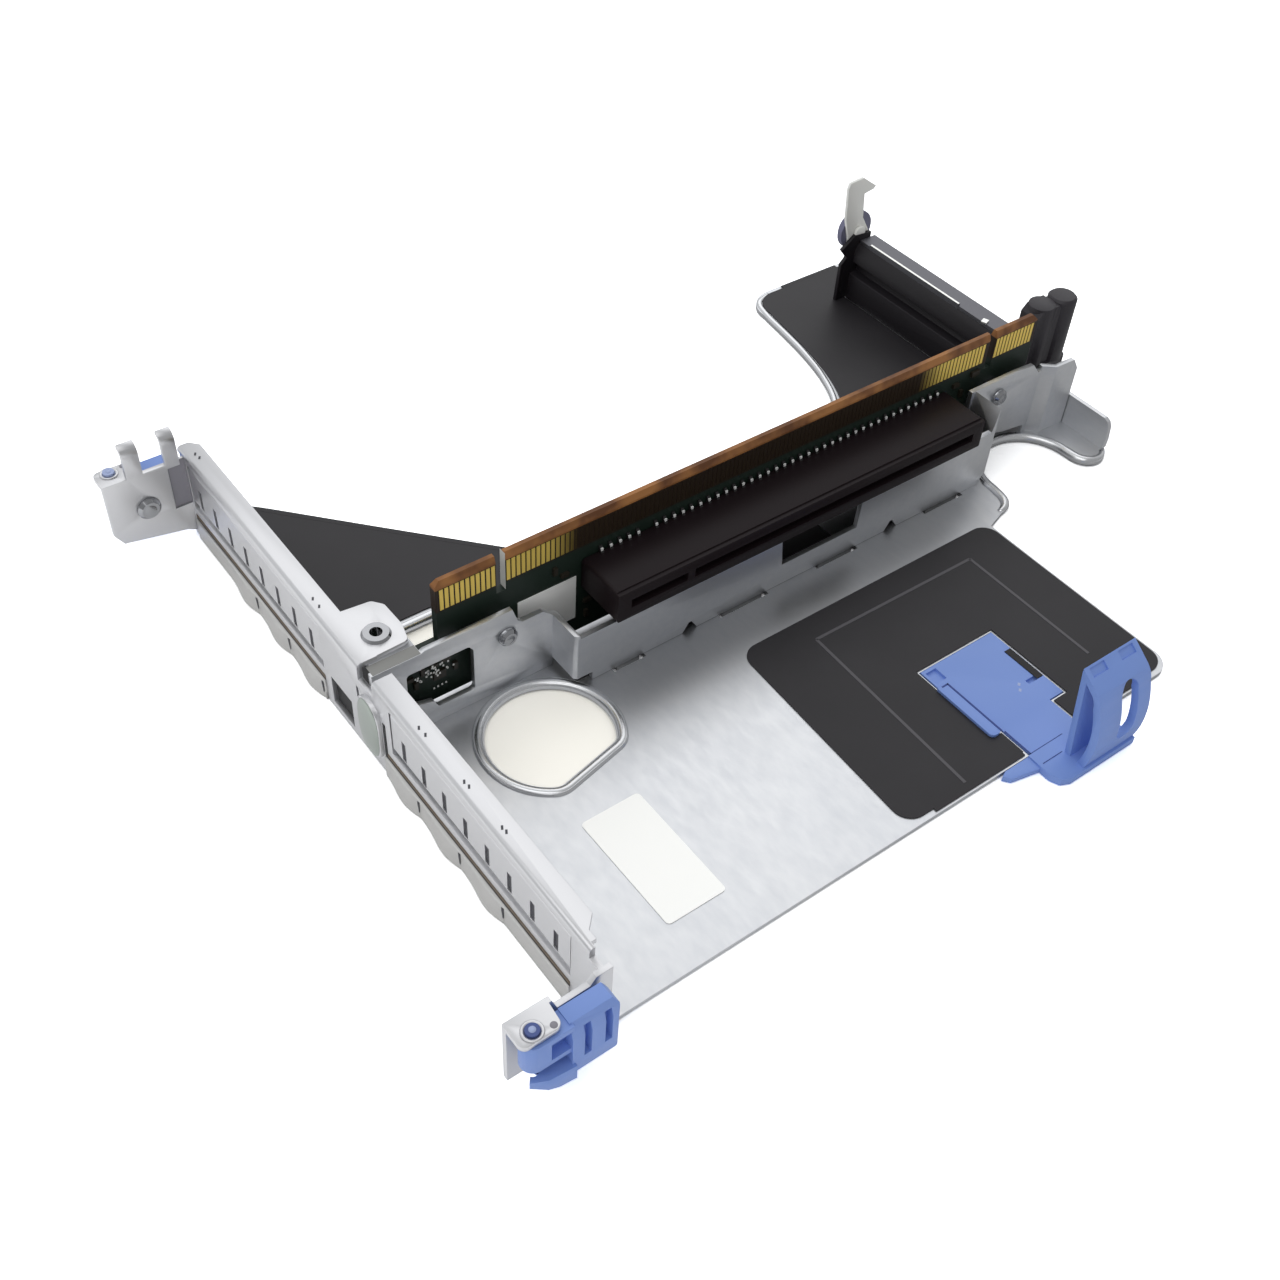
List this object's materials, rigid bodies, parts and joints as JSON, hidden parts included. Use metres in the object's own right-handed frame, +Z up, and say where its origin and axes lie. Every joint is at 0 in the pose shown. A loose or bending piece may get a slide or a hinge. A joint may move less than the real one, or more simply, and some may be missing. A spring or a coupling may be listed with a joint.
{
  "type": "pcie riser card",
  "caption": "sheet steel expansion card cage with an upright riser board, a long black card slot, a vented slot bracket, blue latches and a blue loop handle",
  "frame": {"origin": "middle of the bounding box at the underside of the base plate", "axes": "+X along the riser board from the slot bracket to the end post, +Y from the handle side to the rear bay, +Z up out of the base plate, the way the board's contact edge points"},
  "size_m": [0.1886, 0.1454, 0.0313],
  "materials": {
    "galvanised_steel": "zinc coated sheet, matt with a fine spangle",
    "bracket_steel": "stamped sheet, satin",
    "spring_steel": "thin stamped spring sheet",
    "screw_steel": "bright zinc plated",
    "black_film": "thin insulating film, matt",
    "board_green": "dark green solder mask on glass epoxy",
    "contact_gold": "gold plated copper",
    "connector_black": "moulded, satin black",
    "tin_leads": "tinned",
    "chip_black": "small surface parts",
    "label_white": "bare white label stock",
    "blue_plastic": "moulded blue plastic, satin",
    "blue_pin": "moulded pivot pin, blue",
    "guide_black": "moulded black plastic",
    "knob_blue": "dark blue moulded knob"
  },
  "bodies": {
    "cage": {"base_plate": "galvanised_steel", "film_near": "black_film", "film_back_left": "black_film", "film_back_right": "black_film", "slot_bracket": "bracket_steel", "filler_near": "bracket_steel", "filler_far": "bracket_steel", "emi_spring_near": "spring_steel", "emi_spring_far": "spring_steel", "riser_bracket": "galvanised_steel", "riser_screws": "screw_steel", "standoffs": "screw_steel", "eyelet": "screw_steel", "riser_board": "board_green", "contacts_front": "contact_gold", "contacts_back": "contact_gold", "slot_connector": "connector_black", "connector_leads": "tin_leads", "board_chips": "chip_black", "board_label": "label_white", "plate_label": "label_white", "near_latch_pin": "blue_pin", "far_latch_pin": "blue_pin", "end_screw": "screw_steel", "handle": "blue_plastic", "guide_post": "guide_black", "card_guide": "guide_black", "guide_strip": "bracket_steel", "guide_hook": "bracket_steel", "guide_knob": "knob_blue"},
    "near_latch": {"near_latch": "blue_plastic"},
    "far_latch": {"far_latch": "blue_plastic"}
  },
  "joints": [
    {"name": "near_latch_swing", "type": "hinge", "parent": "cage", "child": "near_latch", "pos_m": [-0.0916, -0.06774, 0.011], "axis": [0, 0, 1], "range_deg": [-75, 0]},
    {"name": "far_latch_swing", "type": "hinge", "parent": "cage", "child": "far_latch", "pos_m": [-0.0916, 0.06976, 0.011], "axis": [0, 0, 1], "range_deg": [0, 75]}
  ]
}
